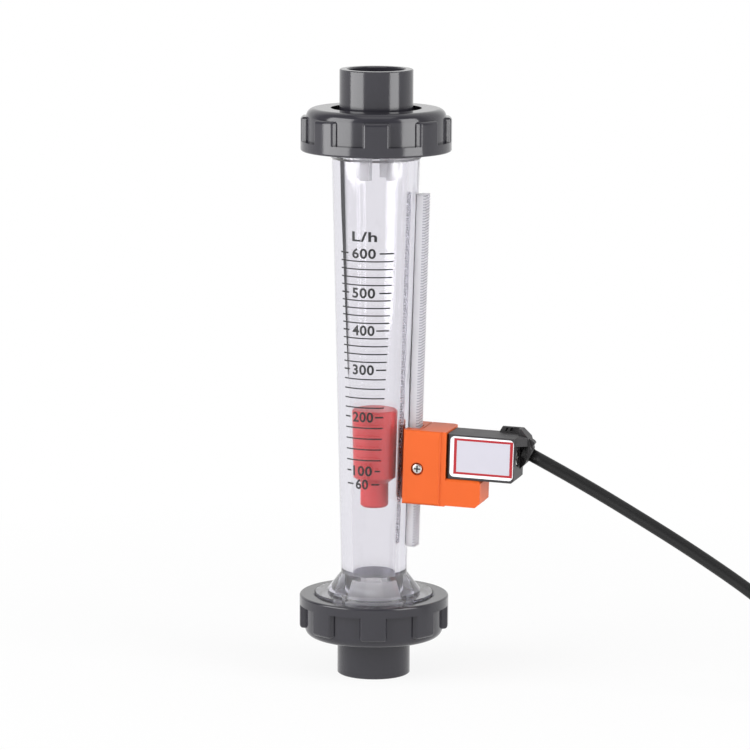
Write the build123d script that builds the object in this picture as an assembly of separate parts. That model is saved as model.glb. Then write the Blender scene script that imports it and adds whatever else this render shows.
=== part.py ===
"""Clear-tube rotameter with solvent-weld unions and a sliding reed alarm.

Millimetres, +Z up along the flow.  The origin is the centre of the lower
pipe socket's mouth.  The printed scale faces -Y and the rail, the alarm and
its cable are towards +X.
"""
from build123d import *
import math
import os

# Pipe sockets, for 20 mm plastic pipe
socket_bore_r = 10.1
socket_wall = 2.9
socket_depth = 15.5
socket_mouth_chamfer = 0.5
socket_edge_chamfer = 0.3
socket_reach = 13.7
flow_bore_r = 7.5

# Whole meter, from socket mouth to socket mouth
overall_height = 216.8

# Union nuts
nut_height = 15.1
nut_wall = 3.72
nut_lip = 3.5
nut_hole_gap = 3.0
nut_shoulder_r = 3.0
rim_band = 3.6
rim_edge_r = 0.7
pad_height = 1.95
pad_count = 8
pad_top_width = 7.6
pad_base_width = 9.8
pad_corner_r = 0.95
pad_end_gap = 2.9
pad_end_r = 1.2
pad_root = 0.6
nut_bore_chamfer = 0.8
upper_nut_turn = 15.5
lower_nut_turn = 15.0

# Screw thread between nut and tube, as plain running cylinders
thread_r = 20.9
thread_gap = 0.08
thread_lead_chamfer = 0.6

# End connector flange and seal
flange_thickness = 4.0
flange_gap = 1.3
groove_mid_r = 17.2
ring_section_r = 1.2
groove_side_gap = 0.4
ring_seat_gap = 0.05

# Measuring tube: outer wall and bore open upwards with their own slopes
tube_wall_bottom_r = 11.75
tube_wall_slope = 0.0257
tube_bore_bottom_r = 7.6
tube_bore_slope = 0.0252
taper_start = 37.15
boss_proud = 0.8
flare_r = 16.6
flare_height = 6.2
flare_step = 0.9
stop_seat_r = 13.6
stop_seat_depth = 3.0

# Serrated rail on the +X side of the tube
rail_bottom = 47.3
rail_length = 126.0
rail_width = 7.0
rail_reach = 4.0
rail_back_edge = 0.7
rail_back_root = 1.5
rail_neck_width = 3.4
rail_neck_sink = 1.5
rail_corner = 0.3
rail_end_r = 1.0
tooth_pitch = 1.0
tooth_depth = 0.5

# Float stops
stop_ring_clearance = 0.1
stop_ring_thickness = 2.9
stop_leg_wall = 1.8
stop_leg_count = 4
upper_leg_base_width = 8.0
upper_leg_tip_width = 3.6
lower_leg_base_width = 10.4
lower_leg_tip_width = 4.9
upper_leg_length = 14.6
lower_leg_length = 8.6
upper_leg_turn = -18.0
lower_leg_turn = 12.0
leg_root_gap = 0.9
upper_leg_tip_r = 7.4
lower_leg_tip_r = 5.6
stop_window_r = 6.6

# Float
float_top = 96.0
float_head_r = 8.1
float_shoulder_r = 7.5
float_body_height = 24.2
float_cone_height = 2.2
float_tail_r = 5.0
float_height = 35.1
float_edge_r = 0.8
float_wall = 1.6
cap_thickness = 2.4
cap_r = 6.2
core_clearance = 0.05
magnet_height = 8.0
magnet_bore_r = 2.2
weight_r = 3.2

# Alarm clamp, measured from the tube wall, across and along the rail
clamp_middle = 76.75
clamp_below = 13.15
clamp_above = 13.5
clamp_left = -0.35
clamp_pad_right = 13.4
clamp_right = 15.2
clamp_front = 8.0
clamp_step = 0.7
clamp_rear = 11.0
clamp_corner_r = 2.6
clamp_edge = 0.95
rail_gap = 0.2
tooth_gap = 0.3
wall_gap = 0.35
finger_slot = 0.4
finger_wall = 0.9
finger_length = 8.6
finger_root = 3.5
detent_width = 0.8
detent_gap = 0.12
shelf_right = 28.0
shelf_drop = 9.2
shelf_lift = 0.35
shelf_rear = 6.0
shelf_corner = 1.7
riser_height = 0.9
riser_front = 0.9
riser_end = 0.9
riser_rear = 0.5

# Clamp screw, small pan head with a cross recess, and its nut
screw_r = 0.8
screw_hole_gap = 0.1
screw_head_r = 1.85
screw_head_height = 1.2
screw_head_gap = 0.45
screw_sink = 1.3
screw_tooth_gap = 0.2
screw_drop = 0.3
screw_end_gap = 0.4
cross_width = 0.5
cross_length = 2.4
cross_depth = 0.7
nut_flats = 3.2
nut_thickness = 1.3
nut_pocket_gap = 0.1

# Alarm housing on the shelf
housing_gap = 0.2
housing_length = 24.5
housing_height = 16.0
housing_front = 7.0
housing_rear = 7.0
housing_edge = 0.3
housing_foot = 0.9
housing_wall = 1.6
housing_cover = 1.4
cover_gap = 0.1
cover_lap = 0.8
front_corner = 1.0
label_left = 1.3
label_right = 0.3
label_top = 0.55
label_bottom = 0.96
label_corner = 1.5
label_thickness = 0.2
collar_left = 15.8
collar_height = 1.95
collar_thickness = 1.2
collar_back = 0.4
collar_slant = 1.1
collar_sill = 0.35
collar_windows = [(2.0, 0.7), (3.6, 2.4), (7.1, 0.7)]
nose_base_front = 2.5
nose_tip_front = 0.1
nose_tip_rear = 6.2
nose_tip_x = 3.1
nose_profile = [(2.29, 6.12), (4.3, 11.2), (3.0, 15.4)]
nose_bottom = 2.7
roof_front = -4.5
roof_depth = 3.0
lug_width = 3.0
lug_profile = [(2.6, 15.3), (4.65, 14.15), (5.2, 13.45), (4.1, 11.7), (3.6, 11.9)]
end_screw_y = -1.25
end_screw_z = 8.47
end_screw_head_r = 2.75
end_screw_head_height = 1.2
end_recess_r = 3.25
end_recess_depth = 1.3
end_screw_r = 1.25
end_screw_length = 4.0
end_boss_wall = 0.6

# Inside the alarm housing
board_height = 11.0
board_thickness = 1.2
board_left = 2.4
board_right = 0.6
board_boss_r = 1.3
board_boss_height = 1.8
reed_r = 1.1
reed_length = 7.6
lead_r = 0.25
lead_overhang = 1.0

# Cable
cable_r = 2.3
grommet_r = 2.6
grommet_tip_r = 2.4
grommet_length = 0.5
grommet_sink = 2.6
grommet_gap = 0.05
core_passage_r = 0.9
exit_drop = 24.5
exit_run = 18.0
exit_x = 3.55
exit_y = 3.0
exit_height = 9.15
cable_length = 1000.0
cable_route = [
    (94.4, 1.4, 62.6),
    (115.4, -0.8, 51.5),
    (137.0, -3.0, 38.8),
    (149.0, -4.8, 30.2),
    (158.5, -6.4, 21.9),
    (167.5, -7.8, 14.9),
    (178.0, -9.0, 10.2),
    (192.5, -5.1, 7.7),
    (203.0, 5.9, 7.0),
]
bend_share = 0.45
coil_middle_r = 23.5
coil_x = 178.0
coil_y = 20.1
coil_columns = 3
coil_layers = 2
coil_corner_r = 2.2
coil_end_turn = 100.0
tail_length = 26.0
bare_length = 9.0
bare_core_r = 0.45
bare_core_pitch = 1.7
floor_gap = 0.05

# Values that follow from the sizes above
socket_r = socket_bore_r + socket_wall
nut_closed_z = socket_reach
nut_open_z = socket_reach + nut_height
nut_lip_z = nut_closed_z + nut_lip
nut_hole_r = socket_r + nut_hole_gap
nut_bore_r = thread_r + thread_gap
nut_body_r = nut_bore_r + nut_wall
nut_rim_r = nut_body_r + pad_height
flange_r = nut_bore_r - flange_gap
tube_end_z = nut_lip_z + flange_thickness
boss_top_z = nut_open_z + boss_proud
tube_top_z = overall_height - tube_end_z
boss_bottom_z = overall_height - boss_top_z
lean = math.degrees(math.atan(tube_wall_slope))
board_length = housing_length - board_left - end_screw_length - board_right


def wall_r(z):
    """Radius of the tube's outer wall at a height."""
    return tube_wall_bottom_r + tube_wall_slope * (z - taper_start)


def bore_r(z):
    """Radius of the tube's bore at a height."""
    return tube_bore_bottom_r + tube_bore_slope * (z - taper_start)


def turned(points):
    """Solid of revolution about Z from (radius, height) points."""
    section = make_face(Polyline(*points, close=True))
    return revolve(Plane.XZ * section, axis=Axis.Z)


def upside_down(shape):
    """The same piece at the other end of the meter."""
    return mirror(shape, about=Plane.XY.offset(overall_height / 2))


def on_wall(shape, height):
    """Place a piece drawn with x from the wall, z along the rail."""
    return Location((wall_r(height), 0, height), (0, lean, 0)) * shape


def block(x0, x1, y0, y1, z0, z1):
    """Box between two corners."""
    box = Box(x1 - x0, y1 - y0, z1 - z0)
    return Pos((x0 + x1) / 2, (y0 + y1) / 2, (z0 + z1) / 2) * box


def end_connector():
    """Socket tube with its flange, as it stands at the lower end."""
    groove_depth = 2 * ring_section_r + ring_seat_gap
    groove_half = ring_section_r + groove_side_gap
    body = turned([
        (socket_bore_r + socket_mouth_chamfer, 0),
        (socket_r - socket_edge_chamfer, 0),
        (socket_r, socket_edge_chamfer),
        (socket_r, nut_lip_z),
        (flange_r, nut_lip_z),
        (flange_r, tube_end_z),
        (flow_bore_r, tube_end_z),
        (flow_bore_r, socket_depth),
        (socket_bore_r, socket_depth),
        (socket_bore_r, socket_mouth_chamfer),
    ])
    groove = turned([
        (groove_mid_r - groove_half, tube_end_z - groove_depth),
        (groove_mid_r + groove_half, tube_end_z - groove_depth),
        (groove_mid_r + groove_half, tube_end_z + 1),
        (groove_mid_r - groove_half, tube_end_z + 1),
    ])
    return body - groove


def seal_ring():
    """Round-section ring in the lower connector's groove."""
    middle = tube_end_z - ring_section_r - ring_seat_gap / 2
    return Pos(0, 0, middle) * Torus(groove_mid_r, ring_section_r)


def grip_pad():
    """One raised pad on the +X side of the nut, from rim towards the shoulder."""
    root = nut_body_r - pad_root
    outline = Polyline(
        (root, -pad_base_width / 2),
        (nut_body_r, -pad_base_width / 2),
        (nut_rim_r + pad_corner_r, -pad_top_width / 2),
        (nut_rim_r + pad_corner_r, pad_top_width / 2),
        (nut_body_r, pad_base_width / 2),
        (root, pad_base_width / 2),
        close=True,
    )
    wedge = make_face(outline) & Circle(nut_rim_r)
    outer = [v for v in wedge.vertices() if v.X > nut_body_r + pad_height / 2]
    wedge = fillet(outer, pad_corner_r)
    length = nut_height - rim_band / 2 - pad_end_gap
    pad = Pos(0, 0, nut_closed_z + pad_end_gap) * extrude(wedge, length)
    end = pad.faces().sort_by(Axis.Z)[0].edges()
    outer_edge = end.sort_by(Axis.X)[-1]
    return fillet(outer_edge, pad_end_r)


def union_nut(turn):
    """Nut of the lower end, with its closed face down."""
    body = Pos(0, 0, nut_closed_z) * Cylinder(
        nut_body_r, nut_height, align=(Align.CENTER, Align.CENTER, Align.MIN))
    shoulder = body.edges().filter_by(GeomType.CIRCLE).sort_by(Axis.Z)[0]
    body = fillet(shoulder, nut_shoulder_r)
    rim = Pos(0, 0, nut_open_z - rim_band) * Cylinder(
        nut_rim_r, rim_band, align=(Align.CENTER, Align.CENTER, Align.MIN))
    pad = grip_pad()
    pads = [Rot(0, 0, turn + 360 * k / pad_count - 90) * pad for k in range(pad_count)]
    nut = (body + rim + pads).clean()
    hole = turned([
        (0, nut_closed_z - 1),
        (nut_hole_r, nut_closed_z - 1),
        (nut_hole_r, nut_lip_z),
        (nut_bore_r, nut_lip_z),
        (nut_bore_r, nut_open_z - nut_bore_chamfer),
        (nut_bore_r + nut_bore_chamfer, nut_open_z),
        (nut_bore_r + nut_bore_chamfer, nut_open_z + 1),
        (0, nut_open_z + 1),
    ])
    nut = nut - hole
    rounded = [
        e for e in nut.edges().filter_by(GeomType.CIRCLE)
        if abs(e.radius - nut_rim_r) < 0.01 and abs(e.center().Z - nut_open_z) < 0.01
    ]
    return fillet(rounded, rim_edge_r)


def rail():
    """T-shaped rail in wall coordinates, z from 0 at its lower end."""
    teeth = int(round(rail_length / tooth_pitch))
    crest = [(rail_reach, 0)]
    for k in range(teeth):
        crest.append((rail_reach - tooth_depth, (k + 0.5) * tooth_pitch))
        crest.append((rail_reach, (k + 1) * tooth_pitch))
    side = [(rail_back_edge, 0)] + crest + [(rail_back_edge, crest[-1][1])]
    head = extrude(Plane.XZ * make_face(Polyline(*side, close=True)), rail_width / 2, both=True)
    top = crest[-1][1]
    half = rail_width / 2
    neck_half = rail_neck_width / 2
    for sign in (-1, 1):
        under = Polyline(
            (rail_back_edge - 1, sign * neck_half),
            (rail_back_root, sign * neck_half),
            (rail_back_edge, sign * half),
            (rail_back_edge - 1, sign * half),
            close=True,
        )
        head -= Pos(0, 0, -1) * extrude(make_face(under), top + 2)
        corner = Polyline(
            (rail_reach - tooth_depth - rail_corner, sign * (half + 1)),
            (rail_reach - tooth_depth - rail_corner, sign * half),
            (rail_reach + rail_corner, sign * (half - tooth_depth - 2 * rail_corner)),
            (rail_reach + 1, sign * (half + 1)),
            close=True,
        )
        head -= Pos(0, 0, -1) * extrude(make_face(corner), top + 2)
    neck = block(-rail_neck_sink, rail_back_root + rail_corner, -neck_half, neck_half, 0, top)
    return head + neck


def measuring_tube():
    """Clear tapered tube with its threaded end bosses and the rail."""
    low_flare = boss_top_z + flare_step
    low_wall = low_flare + flare_height
    high_flare = boss_bottom_z - flare_step
    high_wall = high_flare - (flare_r - wall_r(high_flare))
    body = turned([
        (stop_seat_r, tube_end_z),
        (thread_r - thread_lead_chamfer, tube_end_z),
        (thread_r, tube_end_z + thread_lead_chamfer),
        (thread_r, boss_top_z),
        (flare_r, boss_top_z),
        (flare_r, low_flare),
        (wall_r(low_wall), low_wall),
        (wall_r(high_wall), high_wall),
        (flare_r, high_flare),
        (flare_r, boss_bottom_z),
        (thread_r, boss_bottom_z),
        (thread_r, tube_top_z - thread_lead_chamfer),
        (thread_r - thread_lead_chamfer, tube_top_z),
        (stop_seat_r, tube_top_z),
        (stop_seat_r, tube_top_z - stop_seat_depth),
        (bore_r(tube_top_z), tube_top_z - stop_seat_depth),
        (bore_r(tube_end_z), tube_end_z + stop_seat_depth),
        (stop_seat_r, tube_end_z + stop_seat_depth),
    ])
    return body + on_wall(rail(), rail_bottom)


def float_stop(root_r, tip_r, leg_length, base_width, tip_width, turn):
    """Crown standing on the lower end's seat, with legs that reach up."""
    seat_z = tube_end_z
    ring_r = stop_seat_r - stop_ring_clearance
    ring_top = seat_z + stop_ring_thickness
    inner_r = root_r - stop_leg_wall
    ring = turned([
        (min(inner_r, stop_window_r), seat_z),
        (ring_r, seat_z),
        (ring_r, ring_top),
        (inner_r, ring_top),
    ])
    top = ring_top + leg_length
    shell = turned([
        (inner_r, seat_z),
        (root_r, seat_z),
        (root_r, ring_top),
        (tip_r, top),
        (tip_r - stop_leg_wall, top),
        (inner_r, ring_top),
    ])
    wedge = Plane.YZ * make_face(Polyline(
        (-base_width / 2, seat_z),
        (base_width / 2, seat_z),
        (base_width / 2, ring_top),
        (tip_width / 2, top),
        (-tip_width / 2, top),
        (-base_width / 2, ring_top),
        close=True,
    ))
    prism = extrude(wedge, stop_seat_r)
    leg = shell & prism
    legs = [Rot(0, 0, turn + 360 * k / stop_leg_count) * leg for k in range(stop_leg_count)]
    return ring + legs


def float_pieces():
    """Float body, cap, magnet and weight, at the flow that is shown."""
    top = float_top
    shoulder_z = top - float_body_height
    cone_z = shoulder_z - float_cone_height
    bottom = top - float_height
    pocket_z = top - cap_thickness - magnet_height - core_clearance
    magnet_r = cap_r - core_clearance
    weight_bottom = bottom + float_wall
    weight_hole_r = weight_r + core_clearance
    body = turned([
        (0, bottom),
        (float_tail_r - float_edge_r, bottom),
        (float_tail_r, bottom + float_edge_r),
        (float_tail_r, cone_z),
        (float_shoulder_r, shoulder_z),
        (float_head_r, top - float_edge_r / 2),
        (float_head_r - float_edge_r / 2, top),
        (cap_r, top),
        (cap_r, pocket_z),
        (weight_hole_r, pocket_z),
        (weight_hole_r, weight_bottom),
        (0, weight_bottom),
    ])
    cap = turned([
        (0, top - cap_thickness),
        (cap_r - core_clearance, top - cap_thickness),
        (cap_r - core_clearance, top),
        (0, top),
    ])
    magnet = turned([
        (magnet_bore_r, pocket_z),
        (magnet_r, pocket_z),
        (magnet_r, pocket_z + magnet_height),
        (magnet_bore_r, pocket_z + magnet_height),
    ])
    weight = turned([
        (0, weight_bottom),
        (weight_r, weight_bottom),
        (weight_r, pocket_z - core_clearance),
        (0, pocket_z - core_clearance),
    ])
    return body, cap, magnet, weight


def screw_axis_x():
    """Distance of the clamp screw from the wall: it clears the rail's teeth."""
    return rail_reach + screw_tooth_gap + screw_r


def shelf_top():
    """Level of the shelf's upper face, in wall coordinates."""
    return -clamp_below + shelf_drop


def clamp_body():
    """Moulded clamp with its shelf and the alarm's riser, in wall coordinates."""
    low, high = -clamp_below, clamp_above
    pad = block(clamp_left, clamp_pad_right, -clamp_front, 0, low, high)
    pad = fillet(pad.faces().sort_by(Axis.Y)[0].edges(), clamp_edge)
    step = -clamp_front + clamp_step
    core = block(clamp_pad_right - 2 * clamp_edge, clamp_right, step, 0, low, high)
    rear = block(clamp_left, clamp_right, -1, clamp_rear, low, high)
    corner = rear.edges().filter_by(Axis.Z).sort_by(Axis.X)[-2:].sort_by(Axis.Y)[-1]
    rear = fillet(corner, clamp_corner_r)
    shelf = block(clamp_pad_right - 1, shelf_right, step, shelf_rear, low + shelf_lift, shelf_top())
    foot = shelf.edges().filter_by(Axis.Y).sort_by(Axis.X)[-2:].sort_by(Axis.Z)[0]
    shelf = chamfer(foot, shelf_corner)
    body = (pad + core + rear + shelf + riser()).clean()
    body -= rail_channel()
    body -= finger_slit()
    body += detent()
    return body - clamp_screw_hole()


def riser():
    """Flat seat on the shelf for the alarm housing, with a sloping front and end."""
    low = shelf_top()
    high = low + riser_height
    front = -clamp_front + clamp_step
    side = make_face(Polyline(
        (clamp_pad_right, low - 1),
        (shelf_right, low - 1),
        (shelf_right, low),
        (shelf_right - riser_end, high),
        (clamp_pad_right, high),
        close=True,
    ))
    section = make_face(Polyline(
        (front, low - 1),
        (front, low),
        (front + riser_front, high),
        (shelf_rear - riser_rear, high),
        (shelf_rear, low),
        (shelf_rear, low - 1),
        close=True,
    ))
    across = Pos(0, shelf_rear, 0) * extrude(Plane.XZ * side, shelf_rear - front)
    along = Pos(clamp_pad_right, 0, 0) * extrude(Plane.YZ * section, shelf_right - clamp_pad_right)
    return across & along


def rail_channel():
    """Channel for the rail's head, its neck and the bulge of the tube."""
    half = rail_width / 2 + rail_gap
    neck_half = rail_neck_width / 2 + rail_gap
    outer = rail_reach + tooth_gap
    bottom = -clamp_below - 1
    tall = clamp_below + clamp_above + 2
    head = make_face(Polyline(
        (clamp_left - 1, -neck_half),
        (rail_back_root - rail_gap, -neck_half),
        (rail_back_edge - rail_gap, -half),
        (outer, -half),
        (outer, half),
        (rail_back_edge - rail_gap, half),
        (rail_back_root - rail_gap, neck_half),
        (clamp_left - 1, neck_half),
        close=True,
    ))
    channel = Pos(0, 0, bottom) * extrude(head, tall)
    widest = wall_r(rail_bottom + rail_length)
    bulge = Pos(wall_gap - widest, 0, bottom + tall / 2) * Cylinder(widest, tall)
    return channel + bulge


def finger_slit():
    """Slit that frees a springy finger behind the teeth, open to the top and rear."""
    x0 = rail_reach + tooth_gap + finger_wall
    bottom = clamp_above - finger_length
    return block(x0, x0 + finger_slot, -finger_root, clamp_rear + 1, bottom, clamp_above + 1)


def detent():
    """Ridge on the finger that the rail's teeth ride past."""
    x0 = rail_reach + tooth_gap
    x1 = rail_reach + detent_gap
    z = clamp_above - finger_length / 3
    ridge = make_face(Polyline(
        (x0 + detent_gap, z - detent_width / 2),
        (x0, z - detent_width / 2),
        (x1, z),
        (x0, z + detent_width / 2),
        (x0 + detent_gap, z + detent_width / 2),
        close=True,
    ))
    return extrude(Plane.XZ * ridge, rail_width / 3, both=True)


def along_y(radius, y0, y1, x, z):
    """Round bar parallel to Y."""
    bar = Rot(90, 0, 0) * Cylinder(radius, y1 - y0)
    return Pos(x, (y0 + y1) / 2, z) * bar


def nut_prism(flats, y0, y1):
    """Six-sided prism parallel to Y on the clamp screw's axis."""
    hexagon = RegularPolygon(flats / 2, 6, major_radius=False)
    prism = extrude(Plane.XZ * hexagon, y1 - y0)
    return Pos(screw_axis_x(), y1, -screw_drop) * prism


def clamp_screw_hole():
    """Stepped hole for the clamp screw, with the nut's pocket at the rear."""
    x = screw_axis_x()
    hole = along_y(screw_r + screw_hole_gap, -clamp_front - 1, clamp_rear + 1, x, -screw_drop)
    sink = along_y(screw_head_r + screw_head_gap, -clamp_front - 1, -clamp_front + screw_sink, x, -screw_drop)
    pocket = nut_prism(nut_flats + 2 * nut_pocket_gap, clamp_rear - nut_thickness, clamp_rear + 1)
    return hole + sink + pocket


def clamp_screw():
    """Pan-head screw through the clamp, in wall coordinates."""
    x = screw_axis_x()
    seat = -clamp_front + screw_sink
    head = along_y(screw_head_r, seat - screw_head_height, seat, x, -screw_drop)
    head = fillet(head.edges().sort_by(Axis.Y)[0], screw_head_height / 2)
    shank = along_y(screw_r, seat - 0.1, clamp_rear - screw_end_gap, x, -screw_drop)
    face = seat - screw_head_height
    cross = Pos(x, face, -screw_drop) * (
        Box(cross_length, 2 * cross_depth, cross_width) + Box(cross_width, 2 * cross_depth, cross_length))
    return head + shank - cross


def clamp_nut():
    """Hexagon nut in the clamp's rear pocket, in wall coordinates."""
    prism = nut_prism(nut_flats, clamp_rear - nut_thickness, clamp_rear)
    return prism - along_y(screw_r + grommet_gap, 0, clamp_rear + 1, screw_axis_x(), -screw_drop)


def housing_corner():
    """Left, front and bottom of the alarm housing in wall coordinates."""
    return clamp_right + housing_gap, -housing_front, shelf_top() + riser_height


def exit_point():
    """Where the cable leaves its grommet, in wall coordinates."""
    x0, _, z0 = housing_corner()
    fall = math.radians(exit_drop)
    tip_x = x0 + housing_length + exit_x
    return Vector(
        tip_x + grommet_length * math.cos(fall),
        exit_y,
        z0 + exit_height - grommet_length * math.sin(fall),
    )


def along_exit(shape):
    """Put a piece drawn along Z from the exit point back onto the cable's axis."""
    return Location(exit_point(), (0, 90 + exit_drop, 0)) * shape


def sensor_housing():
    """Moulded alarm housing: box, rear collar, tapered nose, recess and inner bosses."""
    x0, y0, z0 = housing_corner()
    x1 = x0 + housing_length
    z1 = z0 + housing_height
    box = block(x0, x1, y0, housing_rear, z0, z1)
    box = chamfer(box.edges().filter_by(Axis.Z).sort_by(Axis.X)[:2].sort_by(Axis.Y)[0], front_corner)
    box = chamfer(box.edges().filter_by(Axis.Y).sort_by(Axis.X)[-2:].sort_by(Axis.Z)[0], housing_foot)
    box = fillet(box.faces().sort_by(Axis.Y)[0].edges(), housing_edge)
    body = box + housing_collar(x0, x1, z1) + housing_nose(x1, z0)
    wall = housing_wall
    body -= block(x0 + wall, x1 - wall, y0 + wall, housing_rear + 1, z0 + wall, z1 - wall)
    lap = cover_lap
    body -= block(x0 + lap, x1 - lap, housing_rear - housing_cover, housing_rear + 1,
                  z0 + lap, z1 - lap)
    body += board_bosses(x0, y0, z0)
    low = (Align.CENTER, Align.CENTER, Align.MIN)
    screw = Pos(x1 - end_screw_length, end_screw_y, z0 + end_screw_z) * Rot(0, 90, 0)
    body += screw * Cylinder(end_recess_r + end_boss_wall, end_screw_length - housing_foot, align=low)
    body -= screw * Cylinder(end_screw_r + grommet_gap, end_screw_length, align=low)
    body -= screw * Pos(0, 0, end_screw_length - end_recess_depth) * Cylinder(
        end_recess_r, end_recess_depth, align=low)
    seat = grommet_length + grommet_sink + grommet_gap
    high = (Align.CENTER, Align.CENTER, Align.MAX)
    body -= along_exit(Cylinder(grommet_r + grommet_gap, seat, align=high))
    body -= along_exit(Cylinder(core_passage_r, exit_x + housing_wall + 2 * grommet_length + 1, align=high))
    return body


def housing_collar(x0, x1, z1):
    """Raised fin along the rear of the top, with slanted blind windows in its front."""
    left = x0 + collar_left
    top = z1 + collar_height
    outline = Polyline((left, z1 - 1), (left, z1), (left + collar_slant, top), (x1, top), (x1, z1 - 1), close=True)
    fin = Pos(0, housing_rear, 0) * extrude(Plane.XZ * make_face(outline), collar_thickness)
    for offset, width in collar_windows:
        x = left + offset
        window = Polyline(
            (x, z1 + collar_sill),
            (x + width, z1 + collar_sill),
            (x + width + collar_slant / 2, top - collar_sill),
            (x + collar_slant / 2, top - collar_sill),
            close=True,
        )
        fin -= Pos(0, housing_rear - collar_back, 0) * extrude(Plane.XZ * make_face(window), collar_thickness)
    return fin


def side_prism(points, x1, z0, y0, y1):
    """Prism along Y from an outline measured from the end face and the housing's bottom."""
    outline = make_face(Polyline(*[(x1 + x, z0 + z) for x, z in points], close=True))
    return Pos(0, y1, 0) * extrude(Plane.XZ * outline, y1 - y0)


def plan_prism(points, x1, z0):
    """Tall prism from an outline in plan measured from the end face."""
    outline = make_face(Polyline(*[(x1 + x, y) for x, y in points], close=True))
    tall = housing_height + 2 * collar_height
    return Pos(0, 0, z0) * extrude(outline, tall)


def housing_nose(x1, z0):
    """Tapered nose on the end face: its side view cut by its plan, a roof and the latch lug."""
    top = housing_height + collar_height
    root = -housing_foot - 0.1
    side = side_prism([(root, nose_bottom)] + nose_profile + [(0, top), (root, top)],
                      x1, z0, roof_front, housing_rear)
    plan = plan_prism([(root, nose_base_front), (0, nose_base_front), (nose_tip_x, nose_tip_front),
                       (nose_tip_x + 2, nose_tip_front), (nose_tip_x + 2, nose_tip_rear),
                       (0, housing_rear), (root, housing_rear)], x1, z0)
    tip_x, tip_z = nose_profile[2]
    roof = side_prism([(root, housing_height - roof_depth), (tip_x, tip_z - roof_depth), (tip_x, tip_z),
                       (0, housing_height), (root, housing_height)], x1, z0, roof_front, housing_rear)
    eave = plan_prism([(root, roof_front), (0, roof_front), (nose_tip_x, nose_tip_front),
                       (nose_tip_x, nose_tip_rear), (0, housing_rear), (root, housing_rear)], x1, z0)
    lug = side_prism(lug_profile, x1, z0, exit_y - lug_width / 2, exit_y + lug_width / 2)
    return (side & plan) + (roof & eave) + lug


def board_bosses(x0, y0, z0):
    """Two pegs on the housing's front wall that carry the circuit board."""
    y_wall = y0 + housing_wall
    z = z0 + housing_wall + board_height / 2 + 1
    pegs = []
    for x in (x0 + board_left + 3, x0 + board_left + board_length - 3):
        pegs.append(along_y(board_boss_r, y_wall - 0.2, y_wall + board_boss_height, x, z))
    return pegs


def sensor_cover():
    """Flat cover let into the housing's rear face."""
    x0, _, z0 = housing_corner()
    inset = cover_lap + cover_gap
    plate = block(x0 + inset, x0 + housing_length - inset, housing_rear - housing_cover, housing_rear,
                  z0 + inset, z0 + housing_height - inset)
    return fillet(plate.edges().filter_by(Axis.Y), 0.6)


def sensor_label():
    """Sticker on the housing's front face."""
    x0, y0, z0 = housing_corner()
    length = housing_length - label_left - label_right
    height = housing_height - label_top - label_bottom
    sheet = extrude(Plane.XZ * RectangleRounded(length, height, label_corner), label_thickness)
    return Pos(x0 + label_left + length / 2, y0, z0 + label_bottom + height / 2) * sheet


def sensor_screw():
    """Bright cross-head screw in the end face's round recess."""
    x0, _, z0 = housing_corner()
    seat = x0 + housing_length - end_recess_depth
    low = (Align.CENTER, Align.CENTER, Align.MIN)
    high = (Align.CENTER, Align.CENTER, Align.MAX)
    head = Cylinder(end_screw_head_r, end_screw_head_height, align=low)
    head = fillet(head.edges().sort_by(Axis.Z)[-1], end_screw_head_height / 2)
    shank = Cylinder(end_screw_r, end_screw_length - end_recess_depth - 0.3, align=high)
    top = Pos(0, 0, end_screw_head_height)
    cross = top * (Box(3.2, 0.7, 1.4) + Box(0.7, 3.2, 1.4))
    return Pos(seat, end_screw_y, z0 + end_screw_z) * Rot(0, 90, 0) * (head + shank - cross)


def board_y():
    """Front face of the circuit board, on the pegs."""
    return -housing_front + housing_wall + board_boss_height


def circuit_board():
    """Small board that carries the reed switch and the cable's cores."""
    x0, _, z0 = housing_corner()
    z = z0 + housing_wall + 1
    x = x0 + board_left
    return block(x, x + board_length, board_y(), board_y() + board_thickness, z, z + board_height)


def reed_switch():
    """Glass reed capsule standing on the board, with its two leads."""
    x0, _, z0 = housing_corner()
    x = x0 + board_left + 2 * reed_r
    y = board_y() + board_thickness + reed_r + ring_seat_gap
    z = z0 + housing_wall + 1 + board_height / 2
    capsule = Pos(x, y, z) * Cylinder(reed_r, reed_length)
    capsule = fillet(capsule.edges().filter_by(GeomType.CIRCLE), reed_r * 0.7)
    wire = Pos(x, y, z) * Cylinder(lead_r, reed_length + 2 * lead_overhang)
    reed = capsule + wire
    for sign in (-1, 1):
        foot_z = z + sign * (reed_length / 2 + lead_overhang - lead_r)
        reed += along_y(lead_r, board_y() + board_thickness, y, x, foot_z)
    return reed


def cable_grommet():
    """Rubber bush in the nose, drawn back from the exit point."""
    depth = grommet_length + grommet_sink
    bush = revolve(Plane.XZ * make_face(Polyline(
        (0, 0), (grommet_tip_r, 0), (grommet_r, -grommet_length), (grommet_r, -depth), (0, -depth),
        close=True)), axis=Axis.Z)
    return along_exit(bush)


def coil_size():
    """Width and height of the coil's section, and its lowest level."""
    return 2 * cable_r * coil_columns, 2 * cable_r * coil_layers, floor_gap


def cable_coil():
    """Outer shape of the put-away turns, one closed ring on the floor."""
    width, height, low = coil_size()
    section = Pos(coil_middle_r, low + height / 2) * RectangleRounded(width, height, coil_corner_r)
    return Pos(coil_x, coil_y, 0) * revolve(Plane.XZ * section, axis=Axis.Z)


def outer_turn_r():
    """Centreline radius of the coil's outermost turn."""
    return coil_middle_r + 2 * cable_r * (coil_columns - 1) / 2


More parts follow.
